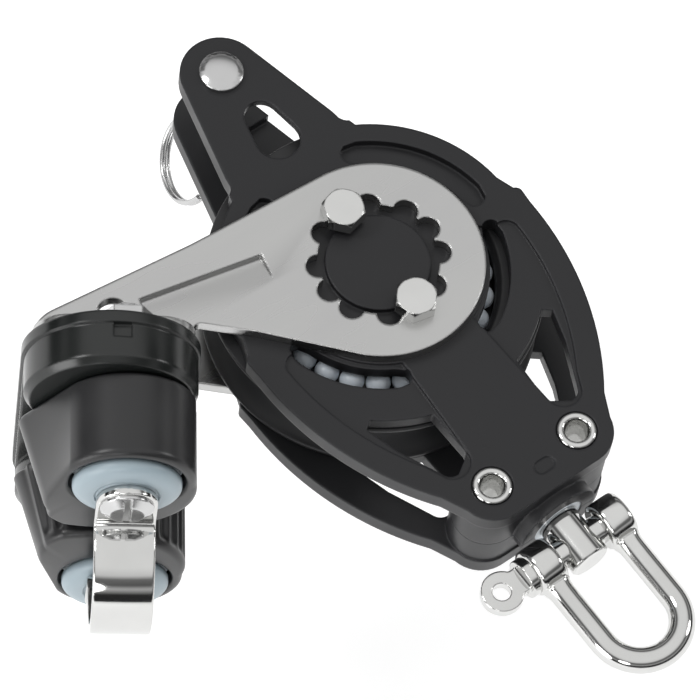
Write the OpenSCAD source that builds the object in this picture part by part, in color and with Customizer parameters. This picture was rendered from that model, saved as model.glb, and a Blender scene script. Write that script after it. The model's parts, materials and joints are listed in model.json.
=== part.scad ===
// Single swivel block for a 57 mm ball-bearing sheave, with becket, D-shackle
// and a cam cleat carried on two stainless arms.
// Origin: centre of the sheave. +Z is the sheave axle, towards the front cheek.
// +Y points to the becket, -Y to the shackle. Millimetres.

/* [Sheave and bearing] */
// Outside diameter of the sheave
sheave_d = 57; // [54:0.5:58]
// Width of the sheave over its rims
sheave_w = 12; // [10:0.5:12.4]
// Radius of the rope groove
groove_r = 5.2; // [4:0.1:5.2]
// Depth of the rope groove
groove_depth = 4.4; // [3:0.1:4.6]
// Diameter of one bearing ball
ball_d = 4.2; // [4:0.1:4.3]
// Radius of the circle that the bearing balls run on
ball_circle_r = 18.2; // [18:0.1:18.4]
// Number of balls in each of the two rows
ball_count = 26; // [22:1:26]

/* [Cheeks] */
// Thickness of the block over both cheeks
block_t = 20.2; // [19.6:0.2:22]
// Thickness of one cheek plate
cheek_t = 3.5; // [3:0.1:3.6]
// Radius of the cheek around the sheave
cheek_r = 26.6; // [26:0.1:27.5]
// Distance from the sheave centre to the becket pin
becket_y = 43.8; // [42:0.1:46]
// Radius of the cheek's becket end
becket_end_r = 7.0; // [6.5:0.1:7.5]
// Distance from the centre line to a head rivet
rivet_x = 8.8; // [8.6:0.1:9.4]
// Distance from the sheave centre to the head rivets
rivet_y = 42.9; // [42:0.1:44]
// Radius of the rounded head corner around a rivet
head_corner_r = 6.2; // [6:0.1:6.4]

/* [Cleat arms] */
// Thickness of the arm sheet
arm_t = 2.4; // [2:0.1:2.6]
// Outside radius of the arm's ring
ring_r = 17.9; // [17.5:0.1:18.5]
// Radius of the bolt circle on which the arm is indexed
bolt_circle_r = 10; // [9.8:0.1:10.2]
// Direction of the rope from the cleat to the sheave, degrees from +X
arm_angle = -36; // [-40:1:-30]
// Distance from the sheave centre to the cleat's mounting face
cleat_face = 21.1; // [20.5:0.1:22]

/* [Cam cleat] */
// Distance between the two cam pivots
cam_spacing = 38; // [37.6:0.2:39]
// Distance from the sheave centre back to the cam pivots, along the rope
cam_back = 42.1; // [41:0.1:44]
// Height of the cleat base
base_h = 9; // [8.6:0.1:9.4]
// Height of one cam
cam_h = 14.7; // [14:0.1:15]
// Outside radius of the fairlead arch
arch_r = 12; // [11.4:0.1:12.4]
// Width of the fairlead strap
strap_w = 10; // [8:0.5:11]

/* [Swivel and shackle] */
// Distance from the sheave centre to the shackle pin
shackle_y = 56.2; // [56:0.1:57]
// Diameter of the shackle bar
bar_d = 4.5; // [4:0.1:4.8]
// Distance between the centre lines of the bow's legs at the crown
bow_w = 14.6; // [14:0.1:16]
// Distance from the sheave centre to the middle of the bow's round end
bow_y = 72.6; // [70:0.1:74]

/* [Hidden] */

$fn = 64;
over = 0.5; // how far a cutter reaches past a face
running = 0.05; // radial clearance of a running fit
small_gap = 0.3; // clearance between faces that pass each other

face_z = block_t / 2;
inner_z = face_z - cheek_t;
arm_z = face_z + arm_t;
ball_r = ball_d / 2;
hub_r = ball_circle_r - ball_r - running;
bore_r = ball_circle_r + ball_r + running;
row_z = 2.9; // the two ball rows sit this far from mid-plane
bolt_r = 2; // M4 shank
head_bottom = rivet_y + head_corner_r;
head_r = head_corner_r - 0.3; // the head block sits a little inside the cheek's edge
neck_bottom = 51.2; // end of the swivel housing
post_r = 3.6;
pin_r = 2.5; // becket pin and shackle pin
rivet_hole_r = 2.05;
rivet_body_r = 2.6;
rivet_flange_r = 3.35;

base_r = 14.6;
lobe_back = cam_back + 2.6; // the base lobes are centred behind the pivots
base_top = cleat_face + base_h;
cam_bottom = base_top + 0.3;
cam_top = cam_bottom + cam_h;
cam_bore_r = 9.4;
cam_post_r = 5.6;
cam_ball_r = 1.85;
cam_ball_circle_r = cam_post_r + cam_ball_r + running;
bush_r = 8.9;
bush_edge = cam_top + 0.4; // where the dome of the bush starts
bush_top = cam_top + 2.3; // where the strap sits
strap_t = 1.6;
arch_centre = bush_top + 2.8;
screw_r = 2.5; // M5 cleat screws

black = [0.08, 0.08, 0.085];
dark = [0.12, 0.12, 0.125];
steel = [0.78, 0.79, 0.8];
bright_steel = [0.86, 0.87, 0.88];
ball_white = [0.82, 0.85, 0.88];
bush_grey = [0.62, 0.70, 0.74];

function arc_points(c, r, a0, a1, steps) =
    [for (i = [0 : steps]) c + r * [cos(a0 + (a1 - a0) * i / steps), sin(a0 + (a1 - a0) * i / steps)]];

function mirror_points(list) = [for (i = [len(list) - 1 : -1 : 0]) [-list[i][0], list[i][1]]];

// ---- Cheeks ----

// Right half of the cheek outline, from the becket end down to the head.
// A tapered flank runs from the becket to the sheave arc. A small ear steps out
// to the side, which bulges on a 56 mm radius down to the head corner.
side_r = 56;
side_c = [-27.6, -6];
outline_half = concat(
    arc_points([0, becket_y], becket_end_r, 90, 12, 10),
    [[11.2, 27.4]],
    arc_points([13.7, 26.6], 2.4, 196, 242, 4),
    arc_points([0, 0], cheek_r, 61, 4, 24),
    arc_points([27.2, -2.6], 1.4, 70, 10, 3),
    arc_points(side_c, side_r, 1, -37.4, 20),
    arc_points([rivet_x, -rivet_y], head_corner_r, -12, -90, 10)
);

module cheek_outline() {
    polygon(concat(outline_half, mirror_points(outline_half)));
}

// Triangular side window between the sheave band, the stem and the side.
window_half = concat(
    arc_points([0, 0], 28.2, -50.5, -72, 8),
    arc_points([10.0, -34.9], 1.6, 180, 225, 4),
    arc_points([12.0, -35.7], 2.2, 265, 330, 5),
    [[17.6, -28.8], [19.4, -22.9]]
);

// Curved slot that shows the bearing balls.
ball_slot_half = concat(
    arc_points([0, 0], 22.4, -17, -62, 14),
    arc_points(20.65 * [cos(-64), sin(-64)], 1.75, -64 - 45, -64 - 135, 4),
    arc_points([0, 0], 18.9, -62, -17, 14),
    arc_points(20.65 * [cos(-15), sin(-15)], 1.75, -15 + 135, -15 + 45, 4)
);

// Shallow panel around the slot and the window, inset from the side.
panel_half = concat(
    arc_points([0, 0], 18.2, -66, -10, 14),
    arc_points([21.6, -7.4], 2.4, 120, 10, 6),
    arc_points(side_c, side_r - 4.4, -3, -33, 12),
    arc_points([11.6, -35.6], 3.2, -40, -180, 10)
);

module both_sides() {
    children();
    mirror([1, 0, 0]) children();
}

// Tapered slot through the neck of a cheek.
module neck_slot_2d() {
    polygon(concat(
        arc_points([0.8, 33.4], 3.0, 10, 170, 10),
        arc_points([0.6, 28.6], 3.9, 175, 365, 12)
    ));
}

// Curved recess in the outer face, concentric with the sheave.
module arc_recess_2d() {
    polygon(concat(
        arc_points([0, 0], 23.4, 6, 62, 18),
        arc_points(21.3 * [cos(64), sin(64)], 2.1, 109, 199, 4),
        arc_points([0, 0], 19.2, 62, 6, 18),
        arc_points(21.3 * [cos(4), sin(4)], 2.1, 229, 319, 4)
    ));
}

// Half of the head that closes on the other cheek at mid-plane.
module head_half() {
    linear_extrude(inner_z + over) {
        for (s = [-1, 1]) translate([s * rivet_x, -rivet_y]) circle(r = head_r);
        translate([-rivet_x, -rivet_y - head_r]) square([2 * rivet_x, rivet_y + head_r - 37.4]);
    }
}

// Round housing around the swivel post, split at mid-plane.
module neck_half() {
    intersection() {
        rotate([90, 0, 0]) translate([0, 0, head_bottom - 3]) cylinder(r = 7.6, h = neck_bottom - head_bottom + 3);
        translate([-20, -60, 0]) cube([40, 30, face_z]);
    }
}

module swivel_cavity() {
    rotate([90, 0, 0]) translate([0, 0, 39.4]) cylinder(r = 5.9, h = 4.2);
    rotate([90, 0, 0]) translate([0, 0, 43]) cylinder(r = 4.9, h = neck_bottom - 43 + over);
}

// relief_x is where the thinned neck panel starts, seen from inside the block.
module cheek(relief_x) {
    difference() {
        union() {
            translate([0, 0, inner_z]) linear_extrude(cheek_t) cheek_outline();
            head_half();
            neck_half();
            translate([0, 0, face_z - over]) cylinder(r = 8.8, h = over + 1.2);
        }
        both_sides() {
            translate([0, 0, inner_z - over]) linear_extrude(cheek_t + 2 * over) polygon(window_half);
            translate([0, 0, inner_z - over]) linear_extrude(cheek_t + 2 * over) polygon(ball_slot_half);
            translate([0, 0, face_z - 0.7]) linear_extrude(2) polygon(panel_half);
            translate([0, 0, face_z - 1.6]) linear_extrude(3) arc_recess_2d();
            translate([rivet_x, -rivet_y, -over]) cylinder(r = rivet_body_r + running, h = face_z + 2 * over);
            translate([rivet_x, -rivet_y, face_z - 0.5]) cylinder(r = rivet_flange_r + 0.15, h = 2);
        }
        for (s = [-1, 1]) translate([0, s * bolt_circle_r, 0]) cylinder(r = bolt_r + 0.1, h = face_z + 4);
        translate([0, 0, inner_z - over]) linear_extrude(cheek_t + 2 * over) neck_slot_2d();
        translate([relief_x, 26.2, inner_z - over]) cube([20, 13.2, cheek_t - 1.6 + over]);
        translate([0, becket_y, -over]) cylinder(r = pin_r + running, h = face_z + 2 * over);
        translate([0.6, -44.8, face_z - 0.4]) linear_extrude(1) polygon(concat(
            arc_points([0.7, 0], 1.2, -90, 90, 8),
            arc_points([-0.7, 0], 1.2, 90, 270, 8)
        ));
        swivel_cavity();
    }
}

module front_cheek() {
    color(black) cheek(-4);
}

module rear_cheek() {
    color(black) mirror([0, 0, 1]) cheek(-3);
}

// ---- Sheave and its bearing ----

module sheave() {
    groove_c = sheave_d / 2 - groove_depth + groove_r;
    color(dark) rotate_extrude($fn = 128) difference() {
        union() {
            translate([bore_r, -sheave_w / 2]) square([sheave_d / 2 - bore_r, sheave_w]);
            translate([bore_r - 1.4, -0.6]) square([2, 1.2]);
        }
        translate([groove_c, 0]) circle(r = groove_r);
        for (s = [-1, 1]) polygon([
            [bore_r - 0.1, s * (sheave_w / 2 - 1)],
            [bore_r + 0.9, s * (sheave_w / 2 + 0.01)],
            [bore_r - 0.1, s * (sheave_w / 2 + 0.01)]
        ]);
    }
}

module bearing_hub() {
    color(dark) difference() {
        union() {
            cylinder(r = hub_r, h = 2 * inner_z, center = true);
            for (s = [-1, 1]) translate([0, 0, s * (inner_z - 0.45)]) cylinder(r = 17.3, h = 0.9, center = true);
        }
        for (s = [-1, 1]) translate([0, s * bolt_circle_r, 0]) {
            cylinder(r = bolt_r + 0.1, h = block_t, center = true);
        }
        for (s = [-1, 1]) translate([s * bolt_circle_r, 0, 0]) cylinder(r = 4.2, h = block_t, center = true);
        cylinder(r = 4.8, h = block_t, center = true);
    }
}

module ball_row(z) {
    for (i = [0 : ball_count - 1]) rotate(360 / ball_count * i) translate([ball_circle_r, 0, z]) sphere(r = ball_r);
}

module front_bearing_balls() {
    color(ball_white) ball_row(row_z);
}

module rear_bearing_balls() {
    color(ball_white) ball_row(-row_z);
}

// ---- Head fittings ----

// Hollow rivet, flanged over at both faces.
module head_rivet(x) {
    flange = 0.9;
    color(bright_steel) translate([x, -rivet_y, 0]) difference() {
        union() {
            cylinder(r = rivet_body_r, h = block_t, center = true);
            for (s = [0, 1]) mirror([0, 0, s]) {
                translate([0, 0, face_z - 0.5]) cylinder(r = rivet_flange_r, h = flange - 0.3);
                translate([0, 0, face_z - 0.5 + flange - 0.3]) {
                    cylinder(r1 = rivet_flange_r, r2 = rivet_flange_r - 0.4, h = 0.4);
                }
            }
        }
        cylinder(r = rivet_hole_r, h = block_t + 3, center = true);
    }
}

module left_head_rivet() {
    head_rivet(-rivet_x);
}

module right_head_rivet() {
    head_rivet(rivet_x);
}

module swivel_post() {
    color(bright_steel) difference() {
        union() {
            rotate([90, 0, 0]) translate([0, 0, 39.8]) cylinder(r = 5.6, h = 2.6);
            rotate([90, 0, 0]) translate([0, 0, 41]) cylinder(r = post_r, h = 60.1 - 41.3);
            rotate([90, 0, 0]) translate([0, 0, 59.8]) cylinder(r1 = post_r, r2 = post_r - 0.3, h = 0.3);
        }
        translate([0, -shackle_y, 0]) rotate([0, 90, 0]) cylinder(r = pin_r + running, h = 20, center = true);
    }
}

// Plain bush between the swivel post and the housing, flanged under the post's head.
module swivel_bush() {
    color(ball_white) difference() {
        union() {
            rotate([90, 0, 0]) translate([0, 0, 42.45]) cylinder(r = 5.6, h = 1.1);
            rotate([90, 0, 0]) translate([0, 0, 43]) cylinder(r = 4.85, h = 8);
        }
        rotate([90, 0, 0]) translate([0, 0, 40]) cylinder(r = post_r + running, h = 14);
    }
}

// ---- Shackle ----

ear_in = 4.3;
ear_out = 9.8;
ear_r = 4.3;

// The legs are a hair thinner than the round end, which they run into.
module bar_leg(side) {
    translate([side * bow_w / 2, -shackle_y, 0]) rotate([90, 0, 0]) {
        cylinder(r = bar_d / 2 - 0.03, h = bow_y - shackle_y + 0.6);
    }
}

module shackle_bow() {
    color(bright_steel) difference() {
        union() {
            translate([0, -bow_y, 0]) rotate([0, 0, 180]) rotate_extrude(angle = 180) {
                translate([bow_w / 2, 0]) circle(r = bar_d / 2, $fn = 48);
            }
            for (s = [-1, 1]) {
                bar_leg(s);
                translate([s * (ear_in + ear_out) / 2, -shackle_y, 0]) rotate([0, 90, 0]) {
                    cylinder(r = ear_r, h = ear_out - ear_in, center = true);
                }
            }
        }
        translate([0, -shackle_y, 0]) rotate([0, 90, 0]) cylinder(r = pin_r + 0.02, h = 40, center = true);
    }
}

module shackle_pin() {
    tab_x = -15.6;
    color(bright_steel) difference() {
        union() {
            translate([-11, -shackle_y, 0]) rotate([0, 90, 0]) cylinder(r = pin_r, h = 11 + ear_out - 0.2);
            translate([-11.5, -shackle_y, 0]) rotate([0, 90, 0]) cylinder(r = 3.5, h = 1.7);
            translate([tab_x, -shackle_y, 0]) cylinder(r = 3.65, h = 2.2, center = true);
            translate([-13.4, -shackle_y, 0]) cube([4.6, 4.6, 2.2], center = true);
        }
        translate([tab_x - 0.2, -shackle_y, 0]) cylinder(r = 1.5, h = 5, center = true);
    }
}

// ---- Becket pin and its ring ----

ring_hole_z = -face_z - 2.2;
ring_turn = 249; // direction of the pin's cross hole, degrees from +X
ring_lean = 62; // how far the ring leans away from the cheek
ring_mean_r = 7.6;
ring_wire_r = 0.5;

module becket_pin() {
    color(steel) difference() {
        union() {
            translate([0, becket_y, -face_z - 4.2]) cylinder(r = pin_r, h = block_t + 4.2);
            translate([0, becket_y, face_z]) cylinder(r = 3.75, h = 0.9);
            translate([0, becket_y, face_z + 0.9]) cylinder(r1 = 3.75, r2 = 2.6, h = 0.6);
        }
        translate([0, becket_y, ring_hole_z]) rotate([0, 0, ring_turn]) rotate([0, 90, 0]) {
            cylinder(r = 1.25, h = 12, center = true);
        }
    }
}

// Two turns of wire lying side by side.
module split_ring() {
    color(steel) translate([0, becket_y, ring_hole_z]) rotate([0, 0, ring_turn]) rotate([ring_lean - 90, 0, 0]) {
        rotate([90, 0, 0]) translate([0, -ring_mean_r, 0]) {
            for (s = [-1, 1]) translate([0, 0, s * ring_wire_r]) rotate_extrude($fn = 72) {
                translate([ring_mean_r, 0]) circle(r = ring_wire_r + 0.02, $fn = 24);
            }
        }
    }
}

// ---- Cleat arms ----

// Local frame of the cleat: x along the rope towards the sheave, y along the
// sheave axle, z away from the sheave through the mounting face.
module cleat_frame() {
    rotate([0, 0, arm_angle]) rotate([90, 0, 0]) children();
}

along = [cos(arm_angle), sin(arm_angle)];
outward = [sin(arm_angle), -cos(arm_angle)];
function arm_point(e, a) = e * along + a * outward;

foot_back = -57.6; // end of the foot away from the sheave
foot_front = -31; // end of the foot nearest the sheave
foot_reach = 27; // the foot ends this far from mid-plane
bend_r = 3.6; // outside radius of the bend
bend_start = cleat_face - bend_r;
plate_corner = arm_point(foot_back + 7, bend_start - 0.5);
hole_centre = arm_point(-44, 11.2);

// Outline of the flat part of the arm, from the ring to the start of the bend.
module arm_outline() {
    polygon(concat(
        arc_points([0, 0], ring_r, -136, 84, 88),
        [[-24.3, 19.8]],
        arc_points(plate_corner, 7, 83, 144, 12),
        [arm_point(foot_back, bend_start + 0.3), arm_point(foot_front, bend_start + 0.3)],
        arc_points(arm_point(foot_front + 1.6, 14.2), 1.6, 144, 60, 6),
        [[-24.5, 0.6]]
    ));
}

// Side view of the bent foot: 2D x is along the axle, 2D y away from the sheave.
module foot_profile() {
    bend_c = [face_z + bend_r, bend_start];
    polygon(concat(
        arc_points(bend_c, bend_r, 180, 90, 12),
        [[foot_reach + 1, cleat_face], [foot_reach + 1, cleat_face - arm_t]],
        arc_points(bend_c, bend_r - arm_t, 90, 180, 12),
        [[face_z + arm_t - 0.03, bend_start - 1], [face_z + 0.03, bend_start - 1]]
    ));
}

// The sheet turns away from mid-plane to carry the cleat base.
module arm_foot() {
    middle = (foot_back + foot_front) / 2;
    cleat_frame() intersection() {
        translate([foot_back - 3, 0, 0]) rotate([90, 0, 90]) linear_extrude(foot_front - foot_back + 6) foot_profile();
        translate([middle, 0, 10]) linear_extrude(cleat_face) foot_plan((foot_front - foot_back) / 2 - 0.1);
    }
}

// Shallow pressed groove in the outer face, running from the ring to the foot.
module arm_groove() {
    rotate([0, 0, 167.5]) translate([17.8, 0, arm_z]) rotate([90, 0, 90]) linear_extrude(22) {
        polygon([[-8.2, 0.05], [-7.7, -1.2], [-6.9, -1.2], [-2.9, 0.05], [-2.9, 1], [-8.2, 1]]);
    }
}

module arm() {
    color(steel) difference() {
        union() {
            translate([0, 0, face_z]) linear_extrude(arm_t) arm_outline();
            arm_foot();
        }
        translate([0, 0, face_z - over]) linear_extrude(arm_t + 2 * over) ring_opening();
        translate([hole_centre[0], hole_centre[1], face_z - over]) cylinder(r = 2.75, h = arm_t + 2 * over);
        cleat_frame() translate([-cam_back, cam_spacing / 2, cleat_face - 6]) cylinder(r = screw_r + 0.1, h = 10);
        arm_groove();
    }
}

// Plan of the foot with its free corners rounded.
module foot_plan(half) {
    polygon(concat(
        [[-half, 5], [half, 5]],
        arc_points([half - 6, foot_reach - 6], 6, 0, 90, 12),
        arc_points([-half + 6, foot_reach - 6], 6, 90, 180, 12)
    ));
}

// Opening with four groups of three notches, into which the bolts drop.
module ring_opening() {
    circle(r = 10.15, $fn = 96);
    for (k = [0 : 3]) for (d = [-27, 0, 27]) rotate(90 * k + d) translate([bolt_circle_r + 0.15, 0]) {
        circle(r = 2.1, $fn = 32);
    }
}

module front_arm() {
    arm();
}

module rear_arm() {
    mirror([0, 0, 1]) arm();
}

// ---- Arm bolts ----

module hex(af, h) {
    cylinder(r = af / 2 / cos(30), h = h, $fn = 6);
}

module arm_bolt(side) {
    head_af = 6.6;
    color(bright_steel) translate([0, side * bolt_circle_r, 0]) {
        translate([0, 0, -arm_z - 4]) cylinder(r = bolt_r, h = 2 * arm_z + 4);
        intersection() {
            translate([0, 0, arm_z]) rotate(12 * side) hex(head_af, 2.9);
            translate([0, 0, arm_z]) cylinder(r1 = 5.4, r2 = 3.1, h = 2.9 + 0.3);
        }
    }
}

module arm_nut(side) {
    color(bright_steel) translate([0, side * bolt_circle_r, -arm_z - 3.2]) difference() {
        intersection() {
            rotate(20) hex(6.6, 3.2);
            cylinder(r1 = 3.3, r2 = 5.6, h = 3.2);
        }
        translate([0, 0, -over]) cylinder(r = bolt_r + 0.02, h = 5);
    }
}

module upper_arm_bolt() {
    arm_bolt(1);
}

module lower_arm_bolt() {
    arm_bolt(-1);
}

module upper_arm_nut() {
    arm_nut(1);
}

module lower_arm_nut() {
    arm_nut(-1);
}

// ---- Cam cleat ----

module base_plan(r) {
    for (s = [-1, 1]) translate([-lobe_back, s * cam_spacing / 2]) circle(r = r, $fn = 96);
    translate([-lobe_back - r, -cam_spacing / 2]) square([2 * r, cam_spacing]);
}

module cleat_base() {
    channel_h = 4.6;
    color(black) cleat_frame() difference() {
        union() {
            translate([0, 0, cleat_face]) linear_extrude(2) base_plan(base_r);
            translate([0, 0, cleat_face + 1]) linear_extrude(channel_h - 1) base_plan(base_r - 0.4);
            for (s = [-1, 1]) {
                translate([-lobe_back, s * cam_spacing / 2, cleat_face + 1]) {
                    cylinder(r = base_r - 0.4, h = base_h - 2.2, $fn = 96);
                    translate([0, 0, base_h - 2.2]) cylinder(r1 = base_r - 0.4, r2 = base_r - 1.3, h = 1.2, $fn = 96);
                }
                translate([-cam_back, s * cam_spacing / 2, cleat_face + 1]) {
                    cylinder(r = cam_post_r, h = bush_edge - cleat_face - 2.2);
                }
            }
        }
        for (s = [-1, 1]) {
            translate([-cam_back, s * cam_spacing / 2, cleat_face - over]) cylinder(r = screw_r + 0.1, h = 40);
            translate([-lobe_back + 1.2, s * (cam_spacing / 2 + base_r), cleat_face + 3.2]) {
                cube([3, 2.4, 2.4], center = true);
            }
        }
    }
}

// Plan of one cam about its pivot. Seen from above its pivot, the working face
// is a spiral that grows from the sheave side to the tail, cut with teeth.
face_start = 24;
face_end = 138;
teeth = 11;
function spiral_r(t) = 10.8 + 7.9 * t / 110;
cam_points = concat(
    arc_points([0, 0], 11.2, 148.5, 0, 22),
    [for (t = [8 : 8 : face_start - 4]) spiral_r(t) * [cos(t), -sin(t)]],
    [for (i = [0 : 2 * teeth]) let (
        t = face_start + (face_end - face_start) * i / (2 * teeth),
        r = spiral_r(t) - (i % 2) * 0.9
    ) r * [cos(t), -sin(t)]],
    arc_points([-12.3, -8.2], 5.0, 228, 149, 10)
);

// side is +1 for the front cam and -1 for the rear cam.
module cam(side) {
    color(dark) cleat_frame() translate([-cam_back, side * cam_spacing / 2, 0]) mirror([0, side < 0 ? 1 : 0, 0]) {
        difference() {
            translate([0, 0, cam_bottom]) linear_extrude(cam_h) polygon(cam_points);
            translate([0, 0, cam_bottom - over]) cylinder(r = cam_bore_r, h = cam_h + 2 * over);
            translate([-18.6, -30, cam_bottom + 2]) rotate([0, -72, 0]) cube([30, 60, 20]);
        }
    }
}

module front_cam() {
    cam(1);
}

module rear_cam() {
    cam(-1);
}

// Domed cap on top of the pivot post; the strap foot sits on it.
module cam_bush(side) {
    color(bush_grey) cleat_frame() translate([-cam_back, side * cam_spacing / 2, 0]) difference() {
        rotate_extrude($fn = 96) polygon(concat(
            [[0, bush_edge - 1.0], [bush_r, bush_edge - 1.0], [bush_r, bush_edge]],
            [for (i = [1 : 8]) [bush_r - 3.3 * (1 - cos(90 * i / 8)), bush_edge + 1.9 * sin(90 * i / 8)]],
            [[0, bush_top]]
        ));
        translate([0, 0, cam_top - 8]) cylinder(r = screw_r + 0.1, h = 20);
    }
}

module front_cam_bush() {
    cam_bush(1);
}

module rear_cam_bush() {
    cam_bush(-1);
}

// Two rows of twelve balls between the pivot post and the cam.
module cam_balls(side) {
    color(ball_white) cleat_frame() translate([-cam_back, side * cam_spacing / 2, 0]) {
        for (z = [cam_bottom + 6.2, cam_bottom + 11.4]) for (i = [0 : 11]) rotate(30 * i) {
            translate([cam_ball_circle_r, 0, z]) sphere(r = cam_ball_r, $fn = 32);
        }
    }
}

module front_cam_balls() {
    cam_balls(1);
}

module rear_cam_balls() {
    cam_balls(-1);
}

// Torsion spring: wire swept along a helix around the pivot post.
spring_r = 7.4;
spring_wire_r = 0.5;
spring_turns = 2.25;
spring_steps = 54;
spring_sides = 8;
function spring_point(i, j) = let (
    turn = 360 * spring_turns * i / spring_steps,
    side = 360 * j / spring_sides,
    r = spring_r + spring_wire_r * cos(side),
    z = 0.7 + 2.5 * i / spring_steps + spring_wire_r * sin(side)
) [r * cos(turn), r * sin(turn), z];

module cam_spring(side) {
    ring_n = spring_sides;
    points = [for (i = [0 : spring_steps]) for (j = [0 : ring_n - 1]) spring_point(i, j)];
    walls = [for (i = [0 : spring_steps - 1]) for (j = [0 : ring_n - 1]) [
        i * ring_n + j,
        i * ring_n + (j + 1) % ring_n,
        (i + 1) * ring_n + (j + 1) % ring_n,
        (i + 1) * ring_n + j
    ]];
    ends = [
        [for (j = [ring_n - 1 : -1 : 0]) j],
        [for (j = [0 : ring_n - 1]) spring_steps * ring_n + j]
    ];
    color(steel) cleat_frame() translate([-cam_back, side * cam_spacing / 2, cam_bottom]) {
        mirror([0, side < 0 ? 1 : 0, 0]) polyhedron(points, concat(walls, ends), convexity = 4);
    }
}

module front_cam_spring() {
    cam_spring(1);
}

module rear_cam_spring() {
    cam_spring(-1);
}

// Polished strap bent into an arch over the rope, one foot on each bush.
module fairlead_strap() {
    leg_in = arch_r - strap_t;
    foot_r = strap_w / 2;
    color(bright_steel) cleat_frame() translate([-cam_back, 0, 0]) difference() {
        union() {
            translate([-strap_w / 2, 0, 0]) rotate([90, 0, 90]) linear_extrude(strap_w) {
                difference() {
                    translate([0, arch_centre]) circle(r = arch_r, $fn = 96);
                    translate([0, arch_centre]) circle(r = leg_in, $fn = 96);
                    translate([-20, arch_centre - 20]) square([40, 20]);
                }
                for (s = [-1, 1]) mirror([s < 0 ? 1 : 0, 0]) {
                    translate([leg_in, bush_top + 0.8]) square([strap_t, arch_centre - bush_top - 0.79]);
                    translate([leg_in + 0.8, bush_top]) square([cam_spacing / 2 - leg_in - 0.8, strap_t]);
                    translate([leg_in + 0.8, bush_top + 0.8]) circle(r = 0.8, $fn = 24);
                }
            }
            for (s = [-1, 1]) translate([0, s * cam_spacing / 2, bush_top]) cylinder(r = foot_r, h = strap_t);
        }
        for (s = [-1, 1]) translate([0, s * cam_spacing / 2, bush_top - over]) cylinder(r = screw_r + 0.1, h = 4);
    }
}

module cleat_screw(side) {
    seat = bush_top + strap_t;
    color(steel) cleat_frame() translate([-cam_back, side * cam_spacing / 2, 0]) difference() {
        union() {
            translate([0, 0, cleat_face - arm_t - 5]) cylinder(r = screw_r, h = seat - cleat_face + arm_t + 5);
            translate([0, 0, seat]) cylinder(r = 4.4, h = 0.6);
            translate([0, 0, seat + 0.6]) cylinder(r1 = 4.4, r2 = 2.8, h = 1.1);
        }
        translate([0, 0, seat + 1.4]) cube([1.1, 12, 1.4], center = true);
    }
}

module front_cleat_screw() {
    cleat_screw(1);
}

module rear_cleat_screw() {
    cleat_screw(-1);
}

module cleat_nut(side) {
    color(steel) cleat_frame() translate([-cam_back, side * cam_spacing / 2, cleat_face - arm_t - 4]) difference() {
        hex(8, 4);
        translate([0, 0, -over]) cylinder(r = screw_r + 0.02, h = 6);
    }
}

module front_cleat_nut() {
    cleat_nut(1);
}

module rear_cleat_nut() {
    cleat_nut(-1);
}

front_cheek();
rear_cheek();
sheave();
bearing_hub();
front_bearing_balls();
rear_bearing_balls();
left_head_rivet();
right_head_rivet();
becket_pin();
split_ring();
swivel_post();
swivel_bush();
shackle_bow();
shackle_pin();
front_arm();
rear_arm();
upper_arm_bolt();
lower_arm_bolt();
upper_arm_nut();
lower_arm_nut();
cleat_base();
front_cam();
rear_cam();
front_cam_bush();
rear_cam_bush();
front_cam_balls();
rear_cam_balls();
front_cam_spring();
rear_cam_spring();
fairlead_strap();
front_cleat_screw();
rear_cleat_screw();
front_cleat_nut();
rear_cleat_nut();
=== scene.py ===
import json
import math
import bpy
import bmesh
import numpy as np
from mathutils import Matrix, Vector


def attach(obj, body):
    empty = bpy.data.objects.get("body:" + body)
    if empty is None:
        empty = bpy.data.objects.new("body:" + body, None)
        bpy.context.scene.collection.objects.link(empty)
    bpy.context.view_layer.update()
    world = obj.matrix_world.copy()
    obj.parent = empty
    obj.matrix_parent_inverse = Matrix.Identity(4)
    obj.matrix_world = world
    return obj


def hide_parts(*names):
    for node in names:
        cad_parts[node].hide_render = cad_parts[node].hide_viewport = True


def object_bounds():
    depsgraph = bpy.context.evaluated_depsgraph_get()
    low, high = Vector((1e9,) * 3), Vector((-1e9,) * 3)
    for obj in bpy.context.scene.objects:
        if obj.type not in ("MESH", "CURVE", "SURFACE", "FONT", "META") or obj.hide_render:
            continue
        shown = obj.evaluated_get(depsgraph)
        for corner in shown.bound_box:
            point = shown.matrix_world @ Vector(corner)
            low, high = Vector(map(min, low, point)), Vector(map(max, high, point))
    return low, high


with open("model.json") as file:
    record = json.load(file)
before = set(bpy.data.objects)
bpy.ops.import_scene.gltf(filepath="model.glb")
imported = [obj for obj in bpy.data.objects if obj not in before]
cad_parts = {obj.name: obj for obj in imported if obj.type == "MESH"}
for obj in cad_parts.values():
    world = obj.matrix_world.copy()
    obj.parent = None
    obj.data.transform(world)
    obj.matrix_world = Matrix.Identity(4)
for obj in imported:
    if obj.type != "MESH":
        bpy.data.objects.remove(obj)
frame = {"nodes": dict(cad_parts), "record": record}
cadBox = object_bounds()
print("frame loaded")

mm = 0.001

# ---- camera ----

cameraValues = {
    "location": (-0.33775, -0.31219, 0.89634),
    "turn": (26.144, -5.001, -36.966),   # degrees, XYZ
    "lens": 309.26,
}


def addCamera(values):
    data = bpy.data.cameras.new("studioCamera")
    data.lens = values["lens"]
    data.sensor_width = 36
    data.clip_start = 0.05
    data.clip_end = 20
    camera = bpy.data.objects.new("studioCamera", data)
    bpy.context.scene.collection.objects.link(camera)
    camera.location = values["location"]
    camera.rotation_euler = [math.radians(a) for a in values["turn"]]
    bpy.context.scene.camera = camera
    return camera


camera = addCamera(cameraValues)

# ---- shader node groups ----


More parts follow.
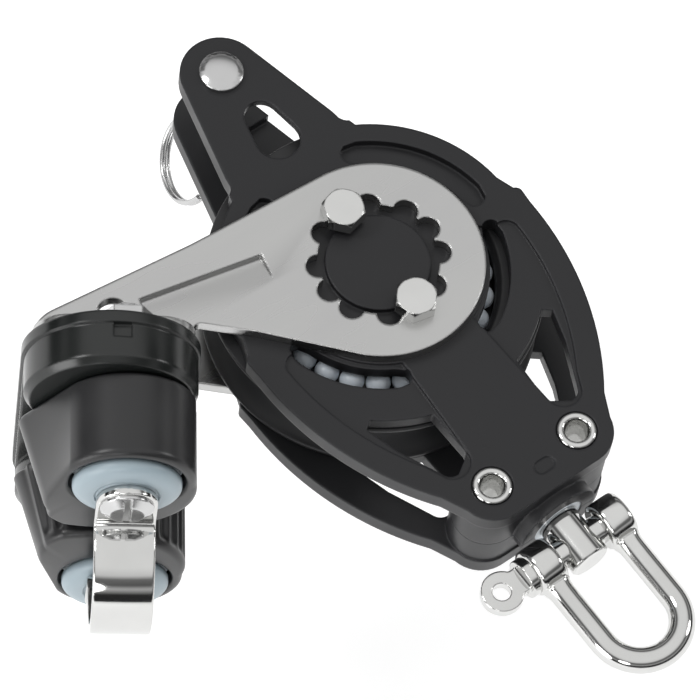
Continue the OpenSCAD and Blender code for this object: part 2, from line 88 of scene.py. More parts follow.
def newGroup(name, inputs, outputs):
    # an empty node group with named sockets: inputs are (name, kind, default), outputs (name, kind)
    tree = bpy.data.node_groups.new(name, "ShaderNodeTree")
    for label, kind, default in inputs:
        item = tree.interface.new_socket(label, in_out="INPUT", socket_type=kind)
        item.default_value = default
    for label, kind in outputs:
        tree.interface.new_socket(label, in_out="OUTPUT", socket_type=kind)
    return tree, tree.nodes.new("NodeGroupInput"), tree.nodes.new("NodeGroupOutput")


def link(tree, a, b):
    tree.links.new(a, b)


def mathNode(tree, kind, a, b, clamp=False):
    node = tree.nodes.new("ShaderNodeMath")
    node.operation = kind
    node.use_clamp = clamp
    for socket, value in zip(node.inputs, (a, b)):
        if isinstance(value, (int, float)):
            socket.default_value = value
        else:
            link(tree, value, socket)
    return node.outputs[0]


def noiseNode(tree, vector, scale, detail=3.0, rough=0.55):
    node = tree.nodes.new("ShaderNodeTexNoise")
    node.inputs["Detail"].default_value = detail
    node.inputs["Roughness"].default_value = rough
    link(tree, vector, node.inputs["Vector"])
    if isinstance(scale, (int, float)):
        node.inputs["Scale"].default_value = scale
    else:
        link(tree, scale, node.inputs["Scale"])
    return node.outputs["Fac"]


def makeGrainGroup():
    # fine moulded grain: two noises added, as a height, and a slow mottling from 0 to 1
    inputs = [("Fine", "NodeSocketFloat", 2600.0), ("Slow", "NodeSocketFloat", 90.0)]
    outputs = [("Height", "NodeSocketFloat"), ("Mottle", "NodeSocketFloat")]
    tree, gIn, gOut = newGroup("mouldGrain", inputs, outputs)
    place = tree.nodes.new("ShaderNodeTexCoord").outputs["Object"]
    fine = noiseNode(tree, place, gIn.outputs["Fine"], 4.0, 0.6)
    slow = noiseNode(tree, place, gIn.outputs["Slow"], 3.0, 0.5)
    mostly = mathNode(tree, "MULTIPLY", fine, 0.7)
    partly = mathNode(tree, "MULTIPLY", slow, 0.3)
    height = mathNode(tree, "ADD", mostly, partly)
    link(tree, height, gOut.inputs["Height"])
    link(tree, slow, gOut.inputs["Mottle"])
    return tree


def makeBrushGroup():
    # brushed lines: noise on coordinates squeezed along one axis, as a height and a streak mask
    inputs = [("Stretch", "NodeSocketVector", (1.0, 1.0, 1.0)), ("Scale", "NodeSocketFloat", 900.0)]
    outputs = [("Height", "NodeSocketFloat"), ("Streak", "NodeSocketFloat")]
    tree, gIn, gOut = newGroup("brushLines", inputs, outputs)
    place = tree.nodes.new("ShaderNodeTexCoord").outputs["Object"]
    squeeze = tree.nodes.new("ShaderNodeVectorMath")
    squeeze.operation = "MULTIPLY"
    link(tree, place, squeeze.inputs[0])
    link(tree, gIn.outputs["Stretch"], squeeze.inputs[1])
    lines = noiseNode(tree, squeeze.outputs[0], gIn.outputs["Scale"], 5.0, 0.65)
    streak = noiseNode(tree, squeeze.outputs[0], 120.0, 3.0, 0.5)
    link(tree, lines, gOut.inputs["Height"])
    link(tree, streak, gOut.inputs["Streak"])
    return tree


def makeEdgeGroup():
    # edges: how far the rounded-off normal leans from the true one, from 0 on flats to 1 on edges; the rounded
    # normal softens the shading, and the lean is the mask for a painted highlight along the edges
    inputs = [("Reach", "NodeSocketFloat", 0.0004), ("Gain", "NodeSocketFloat", 2.0)]
    outputs = [("PaintedHighlight", "NodeSocketFloat"), ("Normal", "NodeSocketVector")]
    tree, gIn, gOut = newGroup("edgeRoundingAndHighlight", inputs, outputs)
    soft = tree.nodes.new("ShaderNodeBevel")
    soft.samples = 6
    link(tree, gIn.outputs["Reach"], soft.inputs["Radius"])
    true = tree.nodes.new("ShaderNodeNewGeometry")
    dot = tree.nodes.new("ShaderNodeVectorMath")
    dot.operation = "DOT_PRODUCT"
    link(tree, soft.outputs["Normal"], dot.inputs[0])
    link(tree, true.outputs["Normal"], dot.inputs[1])
    lean = mathNode(tree, "SUBTRACT", 1.0, dot.outputs["Value"])
    # the lean, scaled by the gain, is the mask for the painted edge highlight
    link(tree, mathNode(tree, "MULTIPLY", lean, gIn.outputs["Gain"], True), gOut.inputs["PaintedHighlight"])
    link(tree, soft.outputs["Normal"], gOut.inputs["Normal"])
    return tree


grainGroup = makeGrainGroup()
brushGroup = makeBrushGroup()
edgeGroup = makeEdgeGroup()
print("node groups made")


def groupNode(tree, group, **values):
    node = tree.nodes.new("ShaderNodeGroup")
    node.node_tree = group
    for key, value in values.items():
        node.inputs[key].default_value = value
    return node


def mixColor(tree, factor, low, high):
    node = tree.nodes.new("ShaderNodeMix")
    node.data_type = "RGBA"
    link(tree, factor, node.inputs[0])
    node.inputs[6].default_value = (*low, 1)
    node.inputs[7].default_value = (*high, 1)
    return node.outputs[2]


def mixValue(tree, factor, bounds):
    # the factor's middle range, 0.3 to 0.7, stretched over the two bounds
    low, high = bounds
    node = tree.nodes.new("ShaderNodeMapRange")
    link(tree, factor, node.inputs["Value"])
    node.inputs["From Min"].default_value = 0.3
    node.inputs["From Max"].default_value = 0.7
    node.inputs["To Min"].default_value = low
    node.inputs["To Max"].default_value = high
    return node.outputs["Result"]


def plasticMaterial(name, v):
    # moulded plastic: mottled colour, grain bump, rounded-off edge shading, and a paler colour along the edges,
    # which is a painted highlight
    mat = bpy.data.materials.new(name)
    mat.use_nodes = True
    tree = mat.node_tree
    shader = tree.nodes["Principled BSDF"]
    grain = groupNode(tree, grainGroup, Fine=v.get("fine", 2600.0), Slow=v.get("slow", 90.0))
    edgeNode = groupNode(tree, edgeGroup, Reach=v.get("reach", 0.0004), Gain=v.get("gain", 1.5))
    base = mixColor(tree, grain.outputs["Mottle"], v["dark"], v["light"])
    # mix in the paler edge colour along the edges: a painted highlight
    highlightMix = tree.nodes.new("ShaderNodeMix")
    highlightMix.data_type = "RGBA"
    link(tree, edgeNode.outputs["PaintedHighlight"], highlightMix.inputs[0])
    link(tree, base, highlightMix.inputs[6])
    highlightMix.inputs[7].default_value = (*v["edge"], 1)
    link(tree, highlightMix.outputs[2], shader.inputs["Base Color"])
    link(tree, mixValue(tree, grain.outputs["Mottle"], v["rough"]), shader.inputs["Roughness"])
    bump = tree.nodes.new("ShaderNodeBump")
    bump.inputs["Strength"].default_value = v.get("bump", 0.12)
    bump.inputs["Distance"].default_value = v.get("depth", 0.00006)
    link(tree, grain.outputs["Height"], bump.inputs["Height"])
    link(tree, edgeNode.outputs["Normal"], bump.inputs["Normal"])
    link(tree, bump.outputs["Normal"], shader.inputs["Normal"])
    shader.inputs["IOR"].default_value = v.get("ior", 1.5)
    if "translucent" in v:
        shader.inputs["Subsurface Weight"].default_value = v["translucent"]
        shader.inputs["Subsurface Radius"].default_value = (0.002, 0.002, 0.002)
    return mat


def steelMaterial(name, v):
    # stainless steel: brushed or polished, with faint streaks and fine scratches
    mat = bpy.data.materials.new(name)
    mat.use_nodes = True
    tree = mat.node_tree
    shader = tree.nodes["Principled BSDF"]
    shader.inputs["Metallic"].default_value = 1.0
    brush = groupNode(tree, brushGroup, Scale=v.get("scale", 900.0))
    brush.inputs["Stretch"].default_value = v.get("stretch", (1, 1, 1))
    edgeNode = groupNode(tree, edgeGroup, Reach=v.get("reach", 0.0004), Gain=1.0)
    link(tree, mixColor(tree, brush.outputs["Streak"], v["dark"], v["light"]), shader.inputs["Base Color"])
    link(tree, mixValue(tree, brush.outputs["Streak"], v["rough"]), shader.inputs["Roughness"])
    bump = tree.nodes.new("ShaderNodeBump")
    bump.inputs["Strength"].default_value = v.get("bump", 0.08)
    bump.inputs["Distance"].default_value = v.get("depth", 0.00003)
    link(tree, brush.outputs["Height"], bump.inputs["Height"])
    link(tree, edgeNode.outputs["Normal"], bump.inputs["Normal"])
    link(tree, bump.outputs["Normal"], shader.inputs["Normal"])
    return mat


# each plastic's edge colour is paler than its body colour: a painted highlight, mixed in along the edges
finishes = {
    "cheek_composite": plasticMaterial("blackNylon", {
        "dark": (0.011, 0.011, 0.012), "light": (0.017, 0.017, 0.019), "edge": (0.05, 0.05, 0.055),
        "rough": (0.36, 0.48), "bump": 0.16, "reach": 0.0006, "ior": 1.42}),
    "hub_composite": plasticMaterial("hubAcetal", {
        "dark": (0.02, 0.02, 0.022), "light": (0.03, 0.03, 0.033), "edge": (0.05, 0.05, 0.05),
        "rough": (0.4, 0.5)}),
    "sheave_composite": plasticMaterial("sheaveAcetal", {
        "dark": (0.012, 0.012, 0.013), "light": (0.02, 0.02, 0.022), "edge": (0.04, 0.04, 0.04),
        "rough": (0.42, 0.55)}),
    "cleat_composite": plasticMaterial("glossyBlack", {
        "dark": (0.008, 0.009, 0.009), "light": (0.014, 0.016, 0.015), "edge": (0.03, 0.03, 0.03),
        "rough": (0.16, 0.26), "bump": 0.05, "reach": 0.0006}),
    "cam_composite": plasticMaterial("camBlack", {
        "dark": (0.012, 0.012, 0.013), "light": (0.02, 0.02, 0.021), "edge": (0.05, 0.05, 0.05),
        "rough": (0.28, 0.38), "bump": 0.08, "reach": 0.0007}),
    "bush_acetal": plasticMaterial("blueGreyAcetal", {
        "dark": (0.28, 0.35, 0.39), "light": (0.35, 0.42, 0.46), "edge": (0.6, 0.66, 0.7),
        "rough": (0.3, 0.4), "bump": 0.04, "translucent": 0.15}),
    "bearing_acetal": plasticMaterial("ballAcetal", {
        "dark": (0.68, 0.75, 0.82), "light": (0.78, 0.83, 0.88), "edge": (0.8, 0.84, 0.88),
        "rough": (0.25, 0.35), "bump": 0.03, "translucent": 0.2}),
    "satin_steel": steelMaterial("satinSheet", {
        "dark": (0.44, 0.44, 0.44), "light": (0.54, 0.54, 0.53), "rough": (0.24, 0.32),
        "stretch": (0.2, 1.0, 1.0), "bump": 0.04, "reach": 0.0007}),
    "polished_steel": steelMaterial("polishedSteel", {
        "dark": (0.56, 0.56, 0.55), "light": (0.66, 0.66, 0.65), "rough": (0.05, 0.1), "bump": 0.03}),
    "plain_steel": steelMaterial("brightSteel", {
        "dark": (0.5, 0.5, 0.5), "light": (0.6, 0.6, 0.6), "rough": (0.16, 0.26), "bump": 0.06}),
}
print("materials made")

# ---- pieces ----

bodyOf = {}
for body, members in frame["record"]["behaviour"]["bodies"].items():
    for member in members:
        bodyOf[member] = body
slotOf = {row["node"]: row["material_slot"] for row in frame["record"]["subparts"]}


def finishPiece(obj, *cadNodes):
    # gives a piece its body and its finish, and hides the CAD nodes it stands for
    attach(obj, bodyOf[cadNodes[0]])
    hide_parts(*cadNodes)
    if not obj.data.materials:
        obj.data.materials.append(finishes[slotOf[cadNodes[0]]])
    return obj


def smoothCopy(node, name, angle=32, rounding=0.0):
    # a merged copy of a CAD node's triangles, smooth except across edges sharper than the angle;
    # a rounding in mm dissolves the flats into single faces and rounds every sharp edge
    mesh = bpy.data.meshes.new(name)
    work = bmesh.new()
    work.from_mesh(frame["nodes"][node].data)
    bmesh.ops.remove_doubles(work, verts=work.verts, dist=0.000002)
    bmesh.ops.dissolve_degenerate(work, edges=work.edges, dist=0.000002)
    if rounding:
        bmesh.ops.dissolve_limit(work, angle_limit=math.radians(0.6), verts=work.verts, edges=work.edges,
                                 use_dissolve_boundaries=False)
    work.to_mesh(mesh)
    work.free()
    for label in ("custom_normal", "sharp_edge", "sharp_face"):
        if label in mesh.attributes:
            mesh.attributes.remove(mesh.attributes[label])
    mesh.shade_smooth()
    mesh.set_sharp_from_angle(angle=math.radians(angle))
    mesh.materials.clear()
    obj = bpy.data.objects.new(name, mesh)
    bpy.context.scene.collection.objects.link(obj)
    if rounding:
        bevel = obj.modifiers.new("roundedEdges", "BEVEL")
        bevel.width = rounding * mm
        bevel.segments = 3
        bevel.limit_method = "ANGLE"
        bevel.angle_limit = math.radians(38)
        bevel.harden_normals = True
        bevel.miter_outer = "MITER_ARC"
    return finishPiece(obj, node)


def gridPiece(name, points, closeAround, closeAlong, cadNodes, angle=40):
    # quads over a grid of points (rows, columns, 3);
    # the open ends of a grid that closes around get a fan to their middle
    rows, cols = points.shape[:2]
    verts = points.reshape(-1, 3)
    lastRow = rows if closeAlong else rows - 1
    lastCol = cols if closeAround else cols - 1
    i, j = np.meshgrid(np.arange(lastRow), np.arange(lastCol), indexing="ij")
    a, b = i * cols + j, i * cols + (j + 1) % cols
    c, d = ((i + 1) % rows) * cols + (j + 1) % cols, ((i + 1) % rows) * cols + j
    quads = np.stack([a, b, c, d], -1).reshape(-1, 4)
    faces = [quads]
    if closeAround and not closeAlong:
        k = np.arange(cols)
        verts = np.concatenate([verts, points[0].mean(0)[None], points[-1].mean(0)[None]])
        first, last, base = rows * cols, rows * cols + 1, (rows - 1) * cols
        faces += [np.stack([(k + 1) % cols, k, np.full(cols, first)], -1),
                  np.stack([base + k, base + (k + 1) % cols, np.full(cols, last)], -1)]
    mesh = bpy.data.meshes.new(name)
    mesh.from_pydata(verts.tolist(), [], [f for block in faces for f in block.tolist()])
    work = bmesh.new()
    work.from_mesh(mesh)
    bmesh.ops.remove_doubles(work, verts=work.verts, dist=0.000003)
    bmesh.ops.recalc_face_normals(work, faces=work.faces)
    work.to_mesh(mesh)
    work.free()
    mesh.shade_smooth()
    mesh.set_sharp_from_angle(angle=math.radians(angle))
    obj = bpy.data.objects.new(name, mesh)
    bpy.context.scene.collection.objects.link(obj)
    return finishPiece(obj, *cadNodes)


def sweep(path, sideA, sideB, sectionA, sectionB):
    # each path point plus the section carried along two side directions
    return (path[:, None] + sideA[:, None] * sectionA[..., None] + sideB[:, None] * sectionB[..., None]) * mm


def unit(v):
    return v / np.linalg.norm(v, axis=-1, keepdims=True)


def lathe(centre, axis, radii, heights, steps=96):
    # radius and height of a profile, turned about an axis through the centre
    axis = unit(np.array(axis, float))
    across = unit(np.cross(axis, (0.31, 0.17, 0.94)))
    third = np.cross(axis, across)
    turn = np.linspace(0, 2 * np.pi, steps, endpoint=False)
    ring = np.cos(turn)[:, None] * across + np.sin(turn)[:, None] * third
    r, h = np.array(radii, float), np.array(heights, float)
    return (np.array(centre, float) + r[:, None, None] * ring + h[:, None, None] * axis) * mm


# ---- shackle ----

shackleShape = {"pinY": -56.2, "legX": 7.3, "bowY": -72.6, "bar": 2.25, "earWide": 4.3, "earThick": 2.7}


def makeShackleBow(v):
    # path down one leg, round a half circle and up the other; the section swells into a flat disc at each ear
    ear, leg, turn = 30, 24, 48
    legLength = v["pinY"] - v["bowY"]
    s = np.concatenate([np.linspace(-v["earWide"], 4.6, ear), np.linspace(4.9, legLength, leg)])
    left = np.stack([np.full(s.size, -v["legX"]), v["pinY"] - s, np.zeros(s.size)], 1)
    theta = np.linspace(np.pi, 2 * np.pi, turn)[1:-1]
    arcX, arcY = v["legX"] * np.cos(theta), v["bowY"] + v["legX"] * np.sin(theta)
    arc = np.stack([arcX, arcY, np.zeros(theta.size)], 1)
    right = left[::-1] * (-1, 1, 1)
    path = np.concatenate([left, arc, right])
    run = np.gradient(path, axis=0)
    along = unit(run)
    side = np.cross(along, (0, 0, 1.0))
    up = np.tile((0, 0, 1.0), (len(path), 1))
    disc = np.sqrt(np.clip(v["earWide"] ** 2 - s ** 2, 0.01, None))
    fade = 1 / (1 + np.exp((s - 4.2) * 3.0))
    wide = np.maximum(disc, v["bar"] * (1 - fade) + 0.3 * fade)
    wide = np.where(s > 4.2, v["bar"] + 0.35 * np.exp(-(s - 4.2) / 1.2), wide)
    thick = v["bar"] + (v["earThick"] - v["bar"]) * fade - 0.5 * np.exp(-(s + v["earWide"]) * 2.2)
    power = 1.0 - 0.62 * fade
    wide = np.concatenate([wide, np.full(arc.shape[0], v["bar"]), wide[::-1]])
    thick = np.concatenate([thick, np.full(arc.shape[0], v["bar"]), thick[::-1]])
    power = np.concatenate([power, np.ones(arc.shape[0]), power[::-1]])
    angle = np.linspace(0, 2 * np.pi, 40, endpoint=False)
    ca, sa = np.cos(angle), np.sin(angle)
    p = power[:, None]
    sectionA = thick[:, None] * np.sign(ca) * np.abs(ca) ** p
    sectionB = wide[:, None] * np.sign(sa) * np.abs(sa) ** p
    points = sweep(path, side, up, sectionA, sectionB)
    return gridPiece("shackleBow", points, True, False, ["shackle_bow"], 60)


# ---- split ring ----

ringShape = {"hole": (0, 43.8, -12.3), "turn": 249, "lean": 62, "radius": 7.6, "wire": 0.5, "gap": 1.04}


def ringFrame(v):
    turn, lean = math.radians(v["turn"]), math.radians(v["lean"])
    along = np.array([math.cos(turn), math.sin(turn), 0])
    flat = np.array([math.sin(turn), -math.cos(turn), 0])
    down = math.cos(lean) * flat + math.sin(lean) * np.array([0, 0, -1.0])
    return along, down, np.cross(along, down)


def makeSplitRing(v):
    # two turns of wire: a circle that steps sideways by one wire over a short stretch of each turn
    along, down, axis = ringFrame(v)
    t = np.linspace(0, 4 * np.pi, 220)
    step = np.clip((t - 1.7 * np.pi) / (0.5 * np.pi), 0, 1)
    offset = v["gap"] * (step * step * (3 - 2 * step) - 0.5)
    centre = np.array(v["hole"], float) + v["radius"] * down
    radial = np.cos(t)[:, None] * along + np.sin(t)[:, None] * down
    path = centre + v["radius"] * radial + offset[:, None] * axis
    angle = np.linspace(0, 2 * np.pi, 14, endpoint=False)
    ones = np.ones((t.size, 1))
    sideB = np.tile(axis, (t.size, 1))
    points = sweep(path, radial, sideB, ones * v["wire"] * np.cos(angle), ones * v["wire"] * np.sin(angle))
    return gridPiece("splitRing", points, True, False, ["split_ring"], 60)


# ---- cleat frame ----

cleat = {"angle": -36.0, "pivotE": -42.1, "pivotZ": 19.0, "camBottom": 30.4, "camTop": 45.1}
turn = math.radians(cleat["angle"])
alongRope = np.array([math.cos(turn), math.sin(turn), 0])
outOfCleat = np.array([math.sin(turn), -math.cos(turn), 0])


def cleatPoint(e, z, a):
    # a point from the cleat's own e (along the rope), z (along the axle) and a (away from the sheave)
    e, z, a = np.broadcast_arrays(np.asarray(e, float), np.asarray(z, float), np.asarray(a, float))
    return e[..., None] * alongRope + a[..., None] * outOfCleat + z[..., None] * np.array([0, 0, 1.0])


springShape = {"radius": 7.4, "wire": 0.48, "turns": 2.25, "low": 0.7, "rise": 2.5}


def makeCamSpring(name, node, side, v):
    # wire along a helix about the cam's pivot
    t = np.linspace(0, 2 * np.pi * v["turns"], 150)
    a = cleat["camBottom"] + v["low"] + v["rise"] * t / t[-1]
    x, y = np.cos(t), side * np.sin(t)
    path = cleatPoint(cleat["pivotE"] + v["radius"] * x, side * cleat["pivotZ"] + v["radius"] * y, a)
    radial = cleatPoint(x, y, 0 * t)
    up = np.tile(outOfCleat, (t.size, 1))
    angle = np.linspace(0, 2 * np.pi, 12, endpoint=False)
    ones = np.ones((t.size, 1))
    points = sweep(path, radial, up, ones * v["wire"] * np.cos(angle), ones * v["wire"] * np.sin(angle))
    return gridPiece(name, points, True, False, [node], 60)


strapShape = {"seat": 47.45, "thick": 1.6, "half": 5.0, "arch": 11.2, "archCentre": 50.2, "foot": 19.0,
              "bend": 2.0, "round": 0.35}


def makeStrap(v):
    # centre line of the sheet in the plane of the two pivots: foot, bend, leg, half circle and back;
    # the width narrows as a half circle past each screw, and the section is a rounded rectangle
    mid = v["seat"] + v["thick"] / 2
    footEnd = v["foot"] + v["half"] - 0.02
    flat = np.linspace(-footEnd, -(v["arch"] + v["bend"]), 40)
    theta = np.linspace(-np.pi / 2, 0, 9)[1:]
    bendZ = -(v["arch"] + v["bend"]) + v["bend"] * np.cos(theta)
    bendA = mid + v["bend"] + v["bend"] * np.sin(theta)
    archT = np.linspace(np.pi, 0, 72)
    archZ = v["arch"] * np.cos(archT)
    archA = v["archCentre"] + v["arch"] * np.sin(archT)
    z = np.concatenate([flat, bendZ, archZ, -bendZ[::-1], -flat[::-1]])
    a = np.concatenate([flat * 0 + mid, bendA, archA, bendA[::-1], flat * 0 + mid])
    dz, da = np.gradient(z), np.gradient(a)
    length = np.hypot(dz, da)
    dz, da = dz / length, da / length
    past = np.clip(np.abs(z) - v["foot"], 0, None)
    wide = np.sqrt(np.clip(v["half"] ** 2 - np.where(a < mid + 0.01, past, 0) ** 2, 0.02, None))
    halfThick = v["thick"] / 2
    r = v["round"]
    corner = np.linspace(0, np.pi / 2, 5)
    cx = np.concatenate([np.cos(corner), -np.sin(corner), -np.cos(corner), np.sin(corner)])
    cy = np.concatenate([np.sin(corner), np.cos(corner), -np.sin(corner), -np.cos(corner)])
    sx = np.sign(np.repeat([1, -1, -1, 1], 5))
    sy = np.sign(np.repeat([1, 1, -1, -1], 5))
    sectionE = sx * (wide[:, None] - r) + r * cx
    sectionN = np.tile(sy * (halfThick - r) + r * cy, (len(z), 1))
    e = cleat["pivotE"] + sectionE
    points = cleatPoint(e, z[:, None] - da[:, None] * sectionN, a[:, None] + dz[:, None] * sectionN) * mm
    return gridPiece("fairleadStrap", points, True, False, ["fairlead_strap"], 50)


bushShape = {"radius": 8.9, "edge": 45.5, "low": 44.5, "top": 47.4, "shoulder": 3.3}


def makeBush(name, node, side, v):
    # domed cap: a short wall, a quarter-ellipse shoulder, a fine ring groove and a flat top
    t = np.linspace(0, np.pi / 2, 14)
    low, edge, top = v["low"], v["edge"], v["top"]
    domeRadii = v["radius"] - v["shoulder"] * (1 - np.cos(t))
    domeHeights = edge + (top - 0.1 - edge) * np.sin(t)
    radii = np.concatenate([[0.01, v["radius"] - 0.2, v["radius"]], domeRadii, [5.35, 5.2, 5.05, 4.9, 0.01]])
    heights = np.concatenate([[low, low, low + 0.2], domeHeights, [top - 0.06, top - 0.3, top - 0.3, top, top]])
    centre = cleatPoint(cleat["pivotE"], side * cleat["pivotZ"], 0.0)
    return gridPiece(name, lathe(centre, outOfCleat, radii, heights, 72), True, False, [node], 50)


rivetShape = {"x": 8.8, "y": -42.9, "bore": 2.05, "body": 2.6, "flange": 3.35, "half": 10.2}


def makeRivet(name, node, side, v):
    # hollow rivet: bore, rolled flange as a half circle at each face, and the body between them
    t = np.linspace(0, np.pi, 12)
    midR, rollR = (v["bore"] + v["flange"]) / 2, (v["flange"] - v["bore"]) / 2
    rollRadii = midR - rollR * np.cos(t)
    rollHeights = v["half"] - 0.25 + 0.55 * np.sin(t)
    under = [v["flange"] - 0.05, v["body"]]
    seat = v["half"] - 0.6
    radii = np.concatenate([rollRadii, under, under[::-1], rollRadii[::-1]])
    heights = np.concatenate([rollHeights, [seat] * 2, [-seat] * 2, -rollHeights[::-1]])
    points = lathe((side * v["x"], v["y"], 0), (0, 0, 1), radii, heights, 64)
    return gridPiece(name, points, True, True, [node], 50)


camShape = {"bore": 9.4, "start": 10.8, "grow": 7.9, "growOver": 110.0, "faceStart": 24.0, "faceEnd": 138.0,
            "teeth": 11, "tooth": 0.7, "back": 11.2, "taper": 0.3, "edge": 1.1}


def camOutlines(v, count=420):
    # plan of a cam about its pivot, without and with its teeth: round back, growing spiral, rounded tail;
    # spiral radius = start + grow * angle / growOver
    deg = np.pi / 180
    def arc(x, y, r, a0, a1, n):
        t = np.linspace(a0, a1, n) * deg
        return np.stack([x + r * np.cos(t), y + r * np.sin(t)], 1)
    lead = np.arange(8, v["faceStart"] - 3, 4) * deg
    face = np.linspace(v["faceStart"], v["faceEnd"], 2 * v["teeth"] * 6 + 1)
    phase = (face - v["faceStart"]) / (v["faceEnd"] - v["faceStart"]) * v["teeth"]
    cut = v["tooth"] * (0.5 - 0.5 * np.cos(2 * np.pi * phase)) ** 0.8
    faceR = v["start"] + v["grow"] * face / v["growOver"]
    leadR = v["start"] + v["grow"] * (lead / deg) / v["growOver"]
    first = np.stack([leadR * np.cos(lead), -leadR * np.sin(lead)], 1)
    along = None
    found = []
    for r in (faceR, faceR - cut):
        spiral = np.stack([r * np.cos(face * deg), -r * np.sin(face * deg)], 1)
        back = arc(0, 0, v["back"], 148.5, 0, 60)
        line = np.concatenate([back, first, spiral, arc(-12.3, -8.2, 5.0, 228, 148.5, 20), back[:1]])
        if along is None:
            along = np.concatenate([[0], np.cumsum(np.hypot(*np.diff(line, axis=0).T))])
        even = np.linspace(0, along[-1], count, endpoint=False)
        found.append(np.stack([np.interp(even, along, line[:, 0]), np.interp(even, along, line[:, 1])], 1))
    return found


def makeCam(name, node, side, v):
    # rows run up the bore, over the top with a rounded rim, down the tapered outside and back under
    plain, toothed = camOutlines(v)
    low, high = cleat["camBottom"], cleat["camTop"]
    radial = plain / np.linalg.norm(plain, axis=1, keepdims=True)
    bore = radial * v["bore"]
    t = np.linspace(0, np.pi / 2, 6)
    rows = [(bore, low), (bore, high - 0.4), (bore + radial * 0.4, high)]
    inset = v["edge"] * (1 - np.sin(t))
    drop = v["edge"] * (1 - np.cos(t))
    for d, h in zip(inset, drop):
        rows.append((plain - radial * d, high - h))
    for h in np.linspace(high - v["edge"] - 0.1, low + 0.4, 26):
        # teeth fade in below the rim and out again above the foot
        depth = np.clip(min(high - v["edge"] - h, h - low) / 1.6, 0, 1)
        rows.append((plain + (toothed - plain) * depth * depth * (3 - 2 * depth), h))
    rows.append((plain - radial * 0.4, low))
    plan = np.stack([r[0] for r in rows])
    height = np.array([r[1] for r in rows])[:, None] * np.ones(len(plain))
    tail = np.clip((-plan[..., 0] - 9.4) / 8.0, 0, 1)
    x = plan[..., 0] + tail * v["taper"] * (height - low)
    points = cleatPoint(cleat["pivotE"] + x, side * (cleat["pivotZ"] + plan[..., 1]), height) * mm
    return gridPiece(name, points, True, True, [node], 38)


makeCam("frontCam", "front_cam", 1, camShape)
makeCam("rearCam", "rear_cam", -1, camShape)
makeStrap(strapShape)
makeBush("frontCamBush", "front_cam_bush", 1, bushShape)
makeBush("rearCamBush", "rear_cam_bush", -1, bushShape)
makeRivet("leftHeadRivet", "left_head_rivet", -1, rivetShape)
makeRivet("rightHeadRivet", "right_head_rivet", 1, rivetShape)
makeShackleBow(shackleShape)
makeSplitRing(ringShape)
makeCamSpring("frontCamSpring", "front_cam_spring", 1, springShape)
makeCamSpring("rearCamSpring", "rear_cam_spring", -1, springShape)
print("swept pieces made")

copied = {
    "front_cheek": "frontCheek", "rear_cheek": "rearCheek", "bearing_hub": "bearingHub",
    "sheave": "sheaveWheel", "front_arm": "frontArm", "rear_arm": "rearArm",
    "upper_arm_bolt": "upperArmBolt", "lower_arm_bolt": "lowerArmBolt",
    "upper_arm_nut": "upperArmNut", "lower_arm_nut": "lowerArmNut",
    "cleat_base": "cleatBase",
    "front_cleat_nut": "frontCleatNut", "rear_cleat_nut": "rearCleatNut",
    "front_cleat_screw": "frontCleatScrew", "rear_cleat_screw": "rearCleatScrew",
    "swivel_post": "swivelPost", "swivel_bush": "swivelBush",
    "shackle_pin": "shacklePin", "becket_pin": "becketPin",
    "front_bearing_balls": "frontBalls", "rear_bearing_balls": "rearBalls",
    "front_cam_balls": "frontCamBalls", "rear_cam_balls": "rearCamBalls",
}
# edge radii in mm
rounded = {
    "front_cheek": 0.35, "rear_cheek": 0.35, "front_arm": 0.3, "rear_arm": 0.3, "cleat_base": 0.3,
    "sheave": 0.25,
    "bearing_hub": 0.2, "becket_pin": 0.15, "shackle_pin": 0.25, "upper_arm_bolt": 0.2, "lower_arm_bolt": 0.2,
    "upper_arm_nut": 0.2, "lower_arm_nut": 0.2, "front_cleat_nut": 0.25, "rear_cleat_nut": 0.25,
    "front_cleat_screw": 0.15, "rear_cleat_screw": 0.15,
}
for node, name in copied.items():
    smoothCopy(node, name, 32, rounded.get(node, 0.0))
print("pieces made")

# ---- floor and light ----

studio = {"floorDrop": 0.05, "floorColor": (0.9, 0.9, 0.9), "floorGlow": 0.4, "sky": 1.0,
          "backdrop": (0.92, 0.92, 0.92)}


def addFloor(values):
    low = cadBox[0][2] - values["floorDrop"]
    mesh = bpy.data.meshes.new("floor")
    mesh.from_pydata([(-3, -3, low), (3, -3, low), (3, 3, low), (-3, 3, low)], [], [(0, 1, 2, 3)])
    floor = bpy.data.objects.new("floor", mesh)
    bpy.context.scene.collection.objects.link(floor)
    mat = bpy.data.materials.new("paleFloor")
    mat.use_nodes = True
    shader = mat.node_tree.nodes["Principled BSDF"]
    shader.inputs["Base Color"].default_value = (*values["floorColor"], 1)
    shader.inputs["Roughness"].default_value = 0.9
    shader.inputs["Specular IOR Level"].default_value = 0.1
    shader.inputs["Emission Color"].default_value = (1, 1, 1, 1)
    shader.inputs["Emission Strength"].default_value = values["floorGlow"]
    mesh.materials.append(mat)


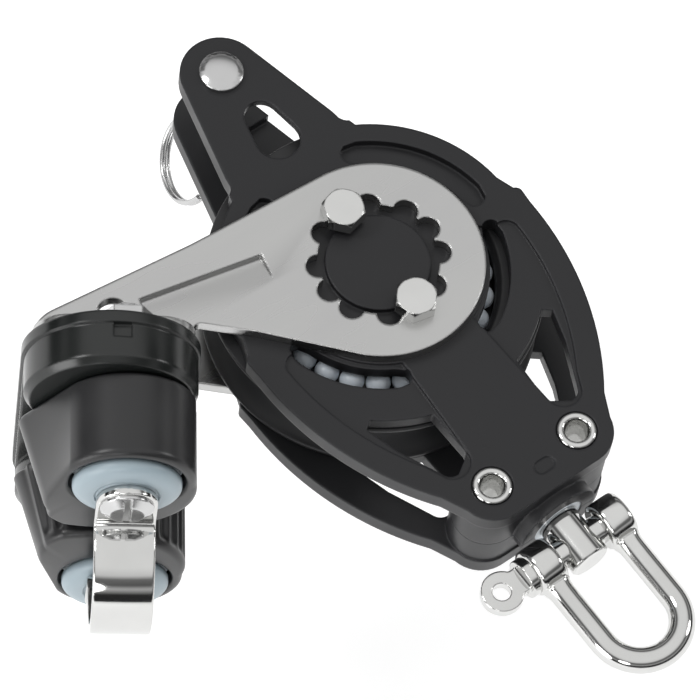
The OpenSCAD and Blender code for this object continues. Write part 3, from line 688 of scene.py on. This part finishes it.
def addLight(name, location, target, size, power, color=(1, 1, 1)):
    data = bpy.data.lights.new(name, "AREA")
    data.shape = "DISK"
    data.size = size
    data.energy = power
    data.color = color
    lamp = bpy.data.objects.new(name, data)
    bpy.context.scene.collection.objects.link(lamp)
    lamp.location = location
    aim = np.array(target, float) - np.array(location, float)
    lamp.rotation_euler = Vector(aim).to_track_quat("-Z", "Y").to_euler()


addFloor(studio)
addLight("keyLight", (-0.9, 0.7, 1.3), (0, 0, 0), 0.5, 7)
addLight("sideLight", (1.2, -0.6, 0.7), (0, 0, 0), 0.4, 3)
addLight("leftLight", (-1.3, -0.1, 0.25), (-0.05, -0.02, 0), 0.7, 6)
addLight("lowLight", (-1.0, -0.8, 0.5), (0, 0, 0), 0.4, 2)

world = bpy.data.worlds.new("softRoom")
bpy.context.scene.world = world
world.use_nodes = True
worldTree = world.node_tree
background = worldTree.nodes["Background"]
ramp = worldTree.nodes.new("ShaderNodeValToRGB")
coord = worldTree.nodes.new("ShaderNodeTexCoord")
split = worldTree.nodes.new("ShaderNodeSeparateXYZ")
worldTree.links.new(coord.outputs["Generated"], split.inputs[0])
worldTree.links.new(split.outputs["Z"], ramp.inputs["Fac"])
ramp.color_ramp.elements[0].position = 0.0
ramp.color_ramp.elements[0].color = (0.03, 0.03, 0.032, 1)
ramp.color_ramp.elements[1].position = 0.82
ramp.color_ramp.elements[1].color = (1, 1, 1, 1)
for position, grey in ((0.2, 0.03), (0.36, 0.55), (0.46, 0.12), (0.6, 0.2), (0.68, 0.8)):
    stop = ramp.color_ramp.elements.new(position)
    stop.color = (grey, grey, grey, 1)
worldTree.links.new(ramp.outputs["Color"], background.inputs["Color"])
background.inputs["Strength"].default_value = studio["sky"]
# the camera sees a plain pale room, and only the metal sees the dark horizon
backdrop = worldTree.nodes.new("ShaderNodeBackground")
backdrop.inputs["Color"].default_value = (*studio["backdrop"], 1)
rays = worldTree.nodes.new("ShaderNodeLightPath")
choose = worldTree.nodes.new("ShaderNodeMixShader")
worldTree.links.new(rays.outputs["Is Camera Ray"], choose.inputs[0])
worldTree.links.new(background.outputs[0], choose.inputs[1])
worldTree.links.new(backdrop.outputs[0], choose.inputs[2])
worldTree.links.new(choose.outputs[0], worldTree.nodes["World Output"].inputs["Surface"])
bpy.context.scene.view_settings.view_transform = "Standard"
print("studio made")
